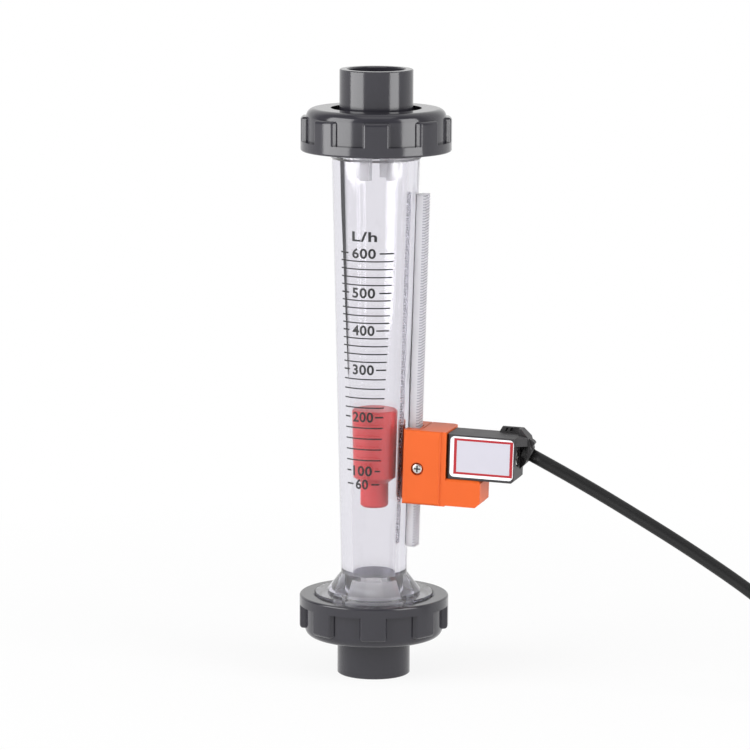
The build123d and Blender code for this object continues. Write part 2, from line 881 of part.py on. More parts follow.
def cable_points():
    """The lead's route: the exit, the chosen points and the coil's side."""
    middle = Location((wall_r(clamp_middle), 0, clamp_middle), (0, lean, 0))
    mouth = middle * Location(exit_point(), (0, 90 + exit_drop, 0))
    start = mouth.position
    first = (mouth * Pos(0, 0, exit_run)).position
    _, height, low = coil_size()
    last = (coil_x + outer_turn_r(), coil_y, low + height - cable_r)
    return [start, first] + [Vector(*p) for p in cable_route] + [Vector(*last)]


def bend_radii(points):
    """One radius for each inner point, as large as its two runs allow."""
    radii = []
    for before, here, after in zip(points, points[1:], points[2:]):
        one = here - before
        two = after - here
        half_turn = math.radians(one.get_angle(two)) / 2
        radii.append(bend_share * min(one.length, two.length) / math.tan(half_turn))
    return radii


def round_wire(path, radius):
    """Round bar swept along a path from its first point."""
    start = path @ 0
    section = Plane(origin=start, z_dir=path % 0) * Circle(radius)
    return sweep(section, path=path)


def cable_lead():
    """The stretch of cable from the grommet to the coil."""
    points = cable_points()
    radii = bend_radii(points)
    print("cable bend radii", [round(r, 1) for r in radii])
    path = FilletPolyline(*points, radius=radii)
    tube = round_wire(path, cable_r)
    expected = math.pi * cable_r ** 2 * path.length
    print("cable run", round(path.length, 1), "volume ratio", round(tube.volume / expected, 5))
    turns = (cable_length - path.length - tail_length) / (2 * math.pi * coil_middle_r)
    print("coil turns", round(turns, 2))
    return tube


def tail_frame():
    """Start and direction of the free end, as it leaves the lower layer."""
    angle = math.radians(coil_end_turn)
    r = outer_turn_r()
    start = Vector(coil_x + r * math.cos(angle), coil_y + r * math.sin(angle), cable_r + floor_gap)
    return start, Vector(-math.sin(angle), math.cos(angle), 0)


def cable_end():
    """Short free end that leaves the coil along the floor."""
    start, way = tail_frame()
    return round_wire(Line(start, start + way * tail_length), cable_r)


def cable_cores():
    """Two tinned cores that stand out of the cable's end."""
    start, way = tail_frame()
    tip = start + way * tail_length
    side = Vector(-way.Y, way.X, 0).normalized()
    cores = []
    for sign in (-1, 1):
        foot = tip + side * (sign * bare_core_pitch / 2)
        cores.append(round_wire(Line(foot, foot + way * bare_length), bare_core_r))
    return Compound(children=[c.solids()[0] for c in cores])


def single(shape):
    """The one solid of a piece."""
    return shape.solids()[0]


def build():
    """All the pieces by name."""
    connector = end_connector()
    ring = seal_ring()
    lower_root = bore_r(tube_end_z) - leg_root_gap / 2
    upper_root = bore_r(tube_top_z) - leg_root_gap
    body, cap, magnet, weight = float_pieces()
    pieces = {
        "measuring_tube": measuring_tube(),
        "lower_end_connector": connector,
        "upper_end_connector": upside_down(connector),
        "lower_union_nut": union_nut(lower_nut_turn),
        "upper_union_nut": upside_down(union_nut(upper_nut_turn)),
        "lower_o_ring": ring,
        "upper_o_ring": upside_down(ring),
        "lower_float_stop": float_stop(lower_root, lower_leg_tip_r, lower_leg_length,
                                       lower_leg_base_width, lower_leg_tip_width, lower_leg_turn),
        "upper_float_stop": upside_down(float_stop(upper_root, upper_leg_tip_r, upper_leg_length,
                                                   upper_leg_base_width, upper_leg_tip_width, upper_leg_turn)),
        "float_body": body,
        "float_cap": cap,
        "float_magnet": magnet,
        "float_weight": weight,
    }
    on_rail = {
        "clamp_body": clamp_body(),
        "clamp_screw": clamp_screw(),
        "clamp_nut": clamp_nut(),
        "sensor_housing": sensor_housing(),
        "sensor_cover": sensor_cover(),
        "sensor_label": sensor_label(),
        "sensor_screw": sensor_screw(),
        "circuit_board": circuit_board(),
        "reed_switch": reed_switch(),
        "cable_grommet": cable_grommet(),
    }
    for name, shape in on_rail.items():
        pieces[name] = on_wall(shape, clamp_middle)
    pieces["cable_lead"] = cable_lead()
    pieces["cable_coil"] = cable_coil()
    pieces["cable_end"] = cable_end()
    pieces["cable_cores"] = cable_cores()
    return pieces


def main():
    os.makedirs("parts", exist_ok=True)
    for name, shape in build().items():
        solids = shape.solids()
        whole = solids[0] if len(solids) == 1 else Compound(children=list(solids))
        export_step(whole, f"parts/{name}.step")


main()
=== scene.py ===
"""Looks of a clear-tube flow meter with union nuts, a sliding alarm and its cable.

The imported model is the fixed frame.  This file adds the plastics, the printed
scale, the label's print, the cable, the floor, the lamps and the camera.
Lengths inside the file are millimetres until a mesh or a light is made.
"""
import math

import bmesh
import bpy
import numpy as np
from bpy.props import FloatProperty, FloatVectorProperty, IntProperty, PointerProperty
from mathutils import Matrix, Vector


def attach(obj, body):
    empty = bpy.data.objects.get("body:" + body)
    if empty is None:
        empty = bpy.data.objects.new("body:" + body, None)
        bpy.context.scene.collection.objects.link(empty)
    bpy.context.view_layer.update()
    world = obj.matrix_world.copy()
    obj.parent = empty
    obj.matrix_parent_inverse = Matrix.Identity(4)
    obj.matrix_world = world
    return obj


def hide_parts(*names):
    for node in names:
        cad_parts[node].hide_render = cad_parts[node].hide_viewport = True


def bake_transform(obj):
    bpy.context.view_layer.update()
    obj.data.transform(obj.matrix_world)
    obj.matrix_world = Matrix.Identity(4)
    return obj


bl_info = {
    "name": "Clear tube flow meter",
    "version": (1, 0, 0),
    "blender": (4, 5, 0),
    "location": "3D View > Sidebar > Flow meter",
    "description": "Plastics, printed scale, alarm label, cable and studio of a flow meter",
    "category": "Object",
}

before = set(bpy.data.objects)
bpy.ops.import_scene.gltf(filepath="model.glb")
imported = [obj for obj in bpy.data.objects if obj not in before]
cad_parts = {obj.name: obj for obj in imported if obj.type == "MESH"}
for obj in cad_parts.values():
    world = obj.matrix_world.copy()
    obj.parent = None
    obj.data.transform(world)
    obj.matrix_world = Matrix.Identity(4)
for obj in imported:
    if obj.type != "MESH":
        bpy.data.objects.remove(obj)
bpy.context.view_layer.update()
MM = 0.001

# Height of each numbered line, and where its number and its two ticks begin and end,
# in degrees round the tube from the middle of the scale
NUMBERED = (
    # value, height, left tick ends, number begins, number's width, right tick begins
    (600, 153.25, -24.5, -18.2, 34.2, 21.0),
    (500, 139.20, -24.5, -18.7, 34.0, 21.0),
    (400, 125.85, -24.5, -19.1, 33.7, 16.9),
    (300, 111.80, -24.5, -19.5, 33.5, 16.9),
    (200, 94.80, -24.5, -20.1, 33.2, 15.5),
    (100, 75.40, -24.5, -20.7, 32.1, 15.5),
    (60, 70.60, -20.4, -16.1, 21.4, 10.3),
)
LINES_PER_HUNDRED = 5

# Route of the cable from the alarm's exit to the side of its coil
ROUTE = (
    (94.4, 1.4, 62.6),
    (115.4, -0.8, 51.5),
    (137.0, -3.0, 38.8),
    (149.0, -4.8, 30.2),
    (158.5, -6.4, 21.9),
    (167.5, -7.8, 14.9),
    (178.0, -9.0, 10.2),
    (192.5, -5.1, 7.7),
    (203.0, 5.9, 7.0),
)

# Turns after which the winding steps to the next place in the coil, from and to, with the
# step in column and in layer: inwards on the upper layer, down, and outwards on the lower one
WINDING = (
    (0.65, 0.80, 1, 0),
    (1.65, 1.80, 1, 0),
    (2.50, 2.65, 0, 1),
    (3.28, 3.48, -1, 0),
    (4.28, 4.48, -1, 0),
)

# Upright lamps: name, degrees round the meter from the camera, and width and height in metres
SIDE_LAMPS = (("left_box", -64, 0.95, 1.1), ("right_box", 58, 0.62, 1.1))

# Overhead lamp: its place, the point it looks at and the side of its square, in metres
OVERHEAD = ((0.1, -0.35, 1.4), (0, 0, 0.1), 0.9)

# Near edge of the black card: heights in mm, and degrees from the camera's line of sight
CARD_EDGE = ((2.0, 64.0), (90.0, 45.0), (400.0, 45.0))


def linear(code):
    """Linear colour of an sRGB hex code."""
    parts = [int(code[k:k + 2], 16) / 255 for k in (1, 3, 5)]
    return tuple(p / 12.92 if p <= 0.04045 else ((p + 0.055) / 1.055) ** 2.4 for p in parts)


def colour(name, code, words):
    """A colour property with its hex default."""
    return FloatVectorProperty(name=name, description=words, subtype="COLOR", size=3,
                               min=0, max=1, default=linear(code))


def length(name, value, words):
    """A length property in millimetres."""
    return FloatProperty(name=name, description=words + ", in mm", default=value, min=0)


class FlowMeterScale(bpy.types.PropertyGroup):
    wall_r: length("Wall radius", 11.75, "Radius of the tube's outer wall at its narrow end")
    wall_start: length("Wall start", 37.15, "Height at which the wall has that radius")
    wall_slope: FloatProperty(name="Wall slope", description="Growth of the radius with height",
                              default=0.0257)
    left_end: FloatProperty(name="Left end", description="Degrees from the middle to the lines' left ends, at the top",
                            default=-39.2)
    left_shift: FloatProperty(name="Left shift", description="Degrees that the left end gains for each mm down",
                              default=0.0762)
    right_end: FloatProperty(name="Right end", default=41.4,
                             description="Degrees from the middle to the lines' right ends, at the top")
    right_shift: FloatProperty(name="Right shift", description="Degrees that the right end loses for each mm down",
                               default=0.219)
    line: length("Line", 0.46, "Thickness of a printed line")
    tick: length("Tick", 0.54, "Thickness of a numbered line's ticks")
    number_height: length("Number height", 3.67, "Height of the figures")
    unit_height: length("Unit height", 3.6, "Height of the unit's letters")
    unit_z: length("Unit level", 159.2, "Height of the unit's middle")
    unit_start: FloatProperty(name="Unit start", description="Degrees from the middle to the unit's left side",
                              default=-18.0)
    unit_width: FloatProperty(name="Unit width", description="Degrees that the unit takes", default=35.5)
    lift: length("Lift", 0.03, "Height of the ink above the wall")
    ink: colour("Ink", "#1B1B1E", "Colour of the printed ink")


class FlowMeterTube(bpy.types.PropertyGroup):
    rail_start: length("Rail start", 0.12, "Distance outside the wall where the rail's matt surface begins")
    rail_side: length("Rail side", 10.0, "Distance along +X beyond which a surface belongs to the rail")
    # Where the painted shade of the rail's grooves lies: a darker band at each groove, standing in for the shade
    # between the teeth
    rail_bottom: length("Rail bottom", 47.3, "Height of the rail's lower end, where its teeth start")
    crest: length("Crest", 3.2, "Distance from the rail's start to where its grooves are shaded")
    tooth_pitch: length("Tooth pitch", 1.0, "Distance between the rail's teeth")
    groove_share: FloatProperty(name="Groove share", description="Half width of a groove's shade, in pitches",
                                default=0.2)
    flare_top: length("Flare top", 37.5, "Height up to which the flare is slightly milky")
    flare_haze: FloatProperty(name="Flare haze", description="Share of the flare that is milky", default=0.09)
    rail_haze: FloatProperty(name="Rail haze", description="Share of the rail that is milky", default=0.15)
    wall_rough: FloatProperty(name="Wall roughness", description="Roughness of the polished wall", default=0.03)
    rail_rough: FloatProperty(name="Rail roughness", description="Roughness of the matt rail", default=0.65)
    ripple: length("Ripple", 9.0, "Width of the slow ripple in the wall")
    ripple_height: length("Ripple height", 0.006, "Height of that ripple")
    density: FloatProperty(name="Density", description="How fast the plastic's body tint builds up, per metre",
                           default=45.0)


class FlowMeterColours(bpy.types.PropertyGroup):
    tube: colour("Tube", "#F5F4F6", "Tint of the clear tube")
    tube_body: colour("Tube body", "#DAD9E6", "Tint of the tube's plastic in depth")
    # Painted shade: a darker colour laid on the rail's grooves in place of the shade between its teeth
    groove: colour("Groove", "#A9A7B0", "Shade of the grooves between the rail's teeth")
    grey: colour("Fittings", "#2E2D33", "Unions and pipe sockets")
    orange: colour("Clamp", "#D45B20", "Clamp on the rail")
    black: colour("Housing", "#2B292B", "Alarm's housing")
    red: colour("Float", "#EC282C", "Float")
    stop: colour("Float stops", "#F8F8FA", "Float stops")
    label: colour("Label", "#EFEFF3", "Label's film")
    label_field: colour("Label field", "#BEBCC6", "Pale field inside the label's frame")
    label_frame: colour("Label frame", "#A41420", "Label's printed frame")
    cable: colour("Cable", "#101011", "Cable's sheath")


class FlowMeterLabel(bpy.types.PropertyGroup):
    middle: FloatVectorProperty(name="Alarm's origin", default=(12.7677, 0.0, 76.75),
                                description="Point of the wall that the alarm is measured from, in mm")
    lean: FloatProperty(name="Lean", description="Degrees that the alarm leans with the wall", default=1.4722)
    left: length("Left", 16.7, "Distance of the label's left edge from the wall")
    right: length("Right", 39.6, "Distance of the label's right edge from the wall")
    bottom: FloatProperty(name="Bottom", description="Level of the label's lower edge, in mm", default=-2.09)
    top: length("Top", 12.4, "Level of the label's upper edge")
    front: length("Front", 7.2, "Distance of the label's face from the meter's middle plane")
    left_margin: length("Left margin", 1.35, "White border at the left")
    right_margin: length("Right margin", 0.2, "White border at the right")
    bottom_margin: length("Bottom margin", 1.05, "White border at the bottom")
    top_margin: length("Top margin", 0.6, "White border at the top")
    upright_bar: length("Upright bar", 1.05, "Width of the frame's left and right bars")
    level_bar: length("Level bar", 0.8, "Height of the frame's upper and lower bars")
    lift: length("Lift", 0.03, "Height of the ink above the film")


# Painted shade: sizes and place of the dark cross laid on the floor of the clamp screw's recess
class FlowMeterScrew(bpy.types.PropertyGroup):
    cross_length: length("Cross length", 2.3, "Length of the cross in the clamp screw's head")
    cross_width: length("Cross width", 0.55, "Width of each arm of the cross")
    turn: FloatProperty(name="Turn", description="Degrees that the cross is turned by", default=0.0)
    middle: FloatVectorProperty(name="Middle", description="Middle of the cross, in mm",
                                default=(17.76, -7.3, 76.33))


class FlowMeterStop(bpy.types.PropertyGroup):
    foot_r: length("Foot radius", 9.9, "Radius of the lower stop's shoulders at their foot")
    foot_z: length("Foot level", 24.3, "Height of the shoulders' foot")
    tip_r: length("Tip radius", 7.9, "Radius of the shoulders at their top")
    tip_z: length("Tip level", 33.0, "Height of the shoulders' top")
    wall: length("Wall", 0.3, "Thickness of the shoulders")
    half_arc: FloatProperty(name="Half arc", description="Degrees from a shoulder's middle to its side", default=56.0)
    turn: FloatProperty(name="Turn", description="Degrees from +X to the front shoulder's middle", default=-74.0)
    steps: IntProperty(name="Steps", description="Points round each shoulder", default=33, min=3)


class FlowMeterCable(bpy.types.PropertyGroup):
    diameter: length("Diameter", 4.6, "Outer diameter of the cable")
    exit: FloatVectorProperty(name="Exit", description="Where the cable leaves the alarm, in mm",
                              default=(56.81, 3.0, 81.51))
    first: FloatVectorProperty(name="First point", description="Next point, along the exit's direction, in mm",
                               default=(72.99, 3.0, 73.63))
    coil_x: length("Coil X", 178.0, "Middle of the coil along X")
    coil_y: length("Coil Y", 20.1, "Middle of the coil along Y")
    coil_r: length("Coil radius", 23.5, "Radius at the middle of the turns")
    columns: IntProperty(name="Columns", description="Turns beside each other", default=3, min=1)
    end_turn: FloatProperty(name="End turn", description="Degrees past the last full turn where the end leaves",
                            default=100.0)
    full_turns: IntProperty(name="Full turns", description="Full turns in the coil", default=5, min=1)
    points_per_turn: IntProperty(name="Points per turn", description="Control points of each turn",
                                 default=20, min=12)
    tail: length("Tail", 26.0, "Length of the free end")
    gap: length("Floor gap", 0.05, "Gap between the cable and what it lies on")
    sides: IntProperty(name="Sides", description="Facets round the cable", default=28, min=8)


class FlowMeterStage(bpy.types.PropertyGroup):
    distance: length("Distance", 1457.0, "Level distance of the camera from the meter's axis")
    height: length("Height", 347.95, "Height of the camera")
    side: FloatProperty(name="Side", description="Degrees that the camera stands to the right", default=15.5)
    pitch: FloatProperty(name="Pitch", description="Degrees that the camera looks down", default=9.356)
    roll: FloatProperty(name="Roll", description="Degrees that the camera is turned about its line of sight",
                        default=0.28)
    lens: length("Lens", 199.55, "Focal length on a 36 mm sensor")
    lamp_distance: length("Lamp distance", 1100.0, "Distance of the side lamps from the meter's axis")
    lamp_level: length("Lamp level", 550.0, "Height of the side lamps' middle")
    side_power: FloatProperty(name="Side power", description="Watts of a side lamp for each square metre",
                              default=18.0)
    top_power: FloatProperty(name="Top power", description="Watts of the overhead lamp", default=2.5)
    card_distance: length("Card distance", 560.0, "Distance of the black card from the meter's axis")
    card_far: FloatProperty(name="Card's far edge", description="Degrees from the line of sight to the far edge",
                            default=76.0)
    card_columns: IntProperty(name="Card columns", description="Points along the card", default=18, min=2)
    floor_r: length("Floor radius", 9000.0, "Radius of the floor")
    floor_drop: length("Floor drop", 0.02, "Depth of the floor under the meter's foot")
    floor_sides: IntProperty(name="Floor sides", description="Corners of the floor", default=64, min=8)
    shadow_start: length("Shadow start", 60.0, "Distance from the foot at which the shadow starts to fade")
    shadow_end: length("Shadow end", 320.0, "Distance from the foot at which the floor is plain white")
    shadow_white: FloatProperty(name="Shadow white", description="Share of plain white in the floor at the foot",
                                default=0.88)
    room: FloatProperty(name="Room light", description="Strength of the light from all round", default=0.27)


GROUPS = {
    "flow_meter_scale": FlowMeterScale,
    "flow_meter_tube": FlowMeterTube,
    "flow_meter_colours": FlowMeterColours,
    "flow_meter_label": FlowMeterLabel,
    "flow_meter_stop": FlowMeterStop,
    "flow_meter_screw": FlowMeterScrew,
    "flow_meter_cable": FlowMeterCable,
    "flow_meter_stage": FlowMeterStage,
}


def add(tree, kind, settings=None, links=None):
    """Adds one node, sets its sockets or properties, and links its inputs from (node, output) pairs."""
    node = tree.nodes.new(kind)
    for key, value in (settings or {}).items():
        if isinstance(key, int) or key in node.inputs:
            node.inputs[key].default_value = value
        else:
            setattr(node, key, value)
    for key, (source, output) in (links or {}).items():
        tree.links.new(source.outputs[output], node.inputs[key])
    return node


def blank_material(name):
    """New material without nodes, and its node tree."""
    material = bpy.data.materials.new(name)
    material.use_nodes = True
    material.node_tree.nodes.clear()
    return material, material.node_tree


def moulded(name, tint, rough, grain_mm, relief_mm, tone=0.06, shader=None):
    """Opaque material whose tone and gloss drift with a soft cloud, and whose relief is a fine grain of the given
    size: the cloud is 25 grains wide."""
    material, tree = blank_material(name)
    place = add(tree, "ShaderNodeTexCoord")
    grain = add(tree, "ShaderNodeTexNoise",
                {"Scale": 1 / (grain_mm * MM), "Detail": 4.0, "Roughness": 0.6},
                {"Vector": (place, "Object")})
    cloud = add(tree, "ShaderNodeTexNoise", {"Scale": 1 / (grain_mm * 25 * MM), "Detail": 2.0},
                {"Vector": (place, "Object")})
    dark = tuple(c * (1 - tone) for c in tint) + (1,)
    light = tuple(min(1.0, c * (1 + tone)) for c in tint) + (1,)
    mixed = add(tree, "ShaderNodeMix", {"data_type": "RGBA", 6: dark, 7: light}, {0: (cloud, 0)})
    relief = add(tree, "ShaderNodeBump", {"Strength": 1.0, "Distance": relief_mm * MM}, {"Height": (grain, 0)})
    gloss = add(tree, "ShaderNodeMapRange", {"To Min": rough * 0.88, "To Max": rough * 1.14},
                {"Value": (cloud, 0)})
    surface = add(tree, "ShaderNodeBsdfPrincipled", {"IOR": 1.5, **(shader or {})},
                  {"Base Color": (mixed, 2), "Normal": (relief, 0), "Roughness": (gloss, 0)})
    add(tree, "ShaderNodeOutputMaterial", None, {"Surface": (surface, 0)})
    return material


def clear_styrene(colours, wall, sizes):
    """Clear styrene-acrylonitrile, injection moulded: a polished wall that bends what is behind it and is faintly
    lilac where it is looked through lengthways, a slightly milky flare, and a finely matt rail whose grooves carry
    a painted shade, a darker colour that stands in for the shade between its teeth.

    The rail is what lies farther from the axis than the wall, on the +X side and above the flare; the painted shade
    lies where the height, counted in teeth from the rail's end, is near a whole number and a half."""
    material, tree = blank_material("clear_styrene_moulded")
    tint = tuple(colours.tube) + (1,)
    start = (wall.wall_r - wall.wall_slope * wall.wall_start + sizes.rail_start) * MM
    place = add(tree, "ShaderNodeTexCoord")
    apart = add(tree, "ShaderNodeSeparateXYZ", None, {0: (place, "Object")})
    flat = add(tree, "ShaderNodeVectorMath", {"operation": "MULTIPLY", 1: (1, 1, 0)}, {0: (place, "Object")})
    away = add(tree, "ShaderNodeVectorMath", {"operation": "LENGTH"}, {0: (flat, 0)})
    skin = add(tree, "ShaderNodeMath", {"operation": "MULTIPLY_ADD", 1: wall.wall_slope, 2: start}, {0: (apart, "Z")})
    beyond = add(tree, "ShaderNodeMath", {"operation": "GREATER_THAN"}, {0: (away, "Value"), 1: (skin, 0)})
    side = add(tree, "ShaderNodeMath", {"operation": "GREATER_THAN", 1: sizes.rail_side * MM}, {0: (apart, "X")})
    above = add(tree, "ShaderNodeMath", {"operation": "GREATER_THAN", 1: sizes.flare_top * MM}, {0: (apart, "Z")})
    rail = add(tree, "ShaderNodeMath", {"operation": "MULTIPLY"}, {0: (beyond, 0), 1: (side, 0)})
    rail = add(tree, "ShaderNodeMath", {"operation": "MULTIPLY"}, {0: (rail, 0), 1: (above, 0)})
    below = add(tree, "ShaderNodeMath", {"operation": "SUBTRACT", 0: 1.0}, {1: (above, 0)})
    clear = add(tree, "ShaderNodeMath", {"operation": "MULTIPLY_ADD", 1: -sizes.flare_haze, 2: 1.0}, {0: (below, 0)})
    clear = add(tree, "ShaderNodeMath", {"operation": "MULTIPLY_ADD", 1: -sizes.rail_haze},
                {0: (rail, 0), 2: (clear, 0)})
    rough = add(tree, "ShaderNodeMapRange", {"To Min": sizes.wall_rough, "To Max": sizes.rail_rough},
                {"Value": (rail, 0)})
    # Painted shade on the rail's grooves: the darker colour goes near each groove beyond the crest, in place of the
    # shade between the teeth
    crest = add(tree, "ShaderNodeMath", {"operation": "ADD", 1: sizes.crest * MM}, {0: (skin, 0)})
    crest = add(tree, "ShaderNodeMath", {"operation": "GREATER_THAN"}, {0: (away, "Value"), 1: (crest, 0)})
    tooth = add(tree, "ShaderNodeMath", {"operation": "MULTIPLY_ADD", 1: 1 / (sizes.tooth_pitch * MM),
                                         2: 0.5 - sizes.rail_bottom / sizes.tooth_pitch}, {0: (apart, "Z")})
    tooth = add(tree, "ShaderNodeMath", {"operation": "PINGPONG", 1: 0.5}, {0: (tooth, 0)})
    groove = add(tree, "ShaderNodeMath", {"operation": "LESS_THAN", 1: sizes.groove_share}, {0: (tooth, 0)})
    groove = add(tree, "ShaderNodeMath", {"operation": "MULTIPLY"}, {0: (groove, 0), 1: (crest, 0)})
    groove = add(tree, "ShaderNodeMath", {"operation": "MULTIPLY"}, {0: (groove, 0), 1: (rail, 0)})
    shade = add(tree, "ShaderNodeMix", {"data_type": "RGBA", 6: tint, 7: tuple(colours.groove) + (1,)},
                {0: (groove, 0)})
    ripple = add(tree, "ShaderNodeTexNoise", {"Scale": 1 / (sizes.ripple * MM), "Detail": 1.0},
                 {"Vector": (place, "Object")})
    relief = add(tree, "ShaderNodeBump", {"Strength": 1.0, "Distance": sizes.ripple_height * MM},
                 {"Height": (ripple, 0)})
    surface = add(tree, "ShaderNodeBsdfPrincipled", {"IOR": 1.57},
                  {"Base Color": (shade, 2), "Normal": (relief, 0), "Roughness": (rough, 0),
                   "Transmission Weight": (clear, 0)})
    depth = add(tree, "ShaderNodeVolumeAbsorption",
                {"Color": tuple(colours.tube_body) + (1,), "Density": sizes.density})
    add(tree, "ShaderNodeOutputMaterial", None, {"Surface": (surface, 0), "Volume": (depth, 0)})
    return material


def plated(name, tint, rough):
    """Bright plated steel or tin: mirror-like, with a faint brushed unevenness in its gloss."""
    return moulded(name, tint, rough, 0.25, 0.002, 0.04, {"Metallic": 1.0})


def dress(material, *nodes):
    """Gives a CAD node's material slots one material."""
    for name in nodes:
        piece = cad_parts[name]
        if not piece.material_slots:
            piece.data.materials.append(material)
        for slot in piece.material_slots:
            slot.material = material


def new_piece(name, points, faces, material, body=None):
    """Mesh object from points in mm and faces, riding on a body; quads are smooth, other faces flat."""
    mesh = bpy.data.meshes.new(name)
    mesh.from_pydata((np.asarray(points) * MM).tolist(), [], faces)
    mesh.polygons.foreach_set("use_smooth", [len(corners) == 4 for corners in faces])
    mesh.update()
    mesh.materials.append(material)
    piece = bpy.data.objects.new(name, mesh)
    bpy.context.scene.collection.objects.link(piece)
    if body:
        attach(piece, body)
    return piece


def grid_faces(rows, columns, close_columns=False):
    """Quads between the points of a grid stored row by row."""
    r, c = np.meshgrid(np.arange(rows - 1), np.arange(columns if close_columns else columns - 1), indexing="ij")
    right = (c + 1) % columns
    return np.stack([r * columns + c, r * columns + right, (r + 1) * columns + right, (r + 1) * columns + c],
                    -1).reshape(-1, 4)


def round_the_wall(sizes, degrees, z):
    """Point on the ink's cone: x is the radius times the angle's sine, y minus the radius times its cosine."""
    turn = np.radians(degrees)
    radius = sizes.wall_r + sizes.wall_slope * (z - sizes.wall_start) + sizes.lift
    return np.stack([radius * np.sin(turn), -radius * np.cos(turn), z + 0 * turn], -1)


def printed_line(sizes, left, right, z, thick):
    """Strip on the cone: angle runs from left to right in the columns, height over the thickness in the rows."""
    steps = max(3, int(abs(right - left) / 2) + 2)
    turn, level = np.meshgrid(np.linspace(left, right, steps), [z - thick / 2, z + thick / 2])
    return round_the_wall(sizes, turn, level).reshape(-1, 3), grid_faces(2, steps)


def points_of(mesh):
    """A mesh's points as rows of three."""
    points = np.zeros(len(mesh.vertices) * 3)
    mesh.vertices.foreach_get("co", points)
    return points.reshape(-1, 3)


def printed_words(sizes, words, left, width, z, tall):
    """Letters laid on the cone: their x becomes the angle and their y the height, cut fine enough to bend."""
    font = bpy.data.curves.new("letters", "FONT")
    font.body = words
    font.space_character = 1.08
    font.offset = 0.026
    font.resolution_u = 4
    holder = bpy.data.objects.new("letters", font)
    bpy.context.scene.collection.objects.link(holder)
    bpy.context.view_layer.update()
    mesh = bpy.data.meshes.new_from_object(holder.evaluated_get(bpy.context.evaluated_depsgraph_get()))
    bpy.data.objects.remove(holder)
    low, high = points_of(mesh).min(0), points_of(mesh).max(0)
    sheet = bmesh.new()
    sheet.from_mesh(mesh)
    for cut in np.linspace(low[0], high[0], int(width * 0.5) + 4)[1:-1]:
        bmesh.ops.bisect_plane(sheet, geom=sheet.verts[:] + sheet.edges[:] + sheet.faces[:],
                               plane_co=(cut, 0, 0), plane_no=(1, 0, 0))
    bmesh.ops.triangulate(sheet, faces=sheet.faces[:])
    sheet.to_mesh(mesh)
    sheet.free()
    share = (points_of(mesh) - low)[:, :2] / (high - low)[:2]
    degrees = left + share[:, 0] * width
    level = z + (share[:, 1] - 0.5) * tall
    corners = np.zeros(len(mesh.polygons) * 3, int)
    mesh.polygons.foreach_get("vertices", corners)
    bpy.data.meshes.remove(mesh)
    return round_the_wall(sizes, degrees, level), corners.reshape(-1, 3)


def joined(parts):
    """One list of points and one of faces from several (points, faces) pairs."""
    points, faces, count = [], [], 0
    for some, corners in parts:
        points.extend(np.asarray(some).tolist())
        faces.extend((np.asarray(corners) + count).tolist())
        count += len(some)
    return points, faces


def tube_round(path, radius, sides):
    """Round tube: at each path point, a circle in the plane across the path, closed by a flat cap at both ends."""
    way = np.gradient(path, axis=0)
    way /= np.linalg.norm(way, axis=1)[:, None]
    across = np.cross(way, [0.0, 0.0, 1.0])
    across /= np.linalg.norm(across, axis=1)[:, None]
    over = np.cross(across, way)
    turn = np.linspace(0, 2 * math.pi, sides, endpoint=False)
    rings = path[:, None] + radius * (np.cos(turn)[:, None] * across[:, None] + np.sin(turn)[:, None] * over[:, None])
    points = rings.reshape(-1, 3)
    faces = grid_faces(len(path), sides, True)[:, ::-1].tolist()
    first = np.arange(sides).tolist()
    last = (np.arange(sides) + (len(path) - 1) * sides)[::-1].tolist()
    return points, faces + [first, last]


def coil_points(sizes):
    """Control points of the turns: the angle grows evenly; the radius and the height step by a diameter along
    smooth ramps, as WINDING says; the radius is widened by the share that the smooth line cuts off."""
    total = sizes.full_turns + sizes.end_turn / 360
    turns = np.arange(1, int(total * sizes.points_per_turn) + 1) / sizes.points_per_turn
    column = 0 * turns
    layer = 0 * turns
    for begin, end, inwards, down in WINDING:
        ramp = np.clip((turns - begin) / (end - begin), 0, 1)
        ramp = ramp * ramp * (3 - 2 * ramp)
        column += inwards * ramp
        layer += down * ramp
    outer = sizes.coil_r + sizes.diameter * (sizes.columns - 1) / 2
    radius = (outer - sizes.diameter * column) / math.cos(math.pi / sizes.points_per_turn)
    turn = 2 * math.pi * turns
    z = sizes.gap + sizes.diameter * (1.5 - layer)
    return np.stack([sizes.coil_x + radius * np.cos(turn), sizes.coil_y + radius * np.sin(turn), z], -1)


def nurbs_path(points):
    """Points read from the smooth line that the control points give."""
    curve = bpy.data.curves.new("route", "CURVE")
    curve.dimensions = "3D"
    spline = curve.splines.new("NURBS")
    spline.points.add(len(points) - 1)
    spline.points.foreach_set("co", np.c_[points * MM, np.ones(len(points))].ravel())
    spline.order_u = 3
    spline.use_endpoint_u = True
    spline.resolution_u = 8
    holder = bpy.data.objects.new("route", curve)
    bpy.context.scene.collection.objects.link(holder)
    bpy.context.view_layer.update()
    mesh = bpy.data.meshes.new_from_object(holder)
    read = points_of(mesh)
    bpy.data.objects.remove(holder)
    bpy.data.meshes.remove(mesh)
    return read


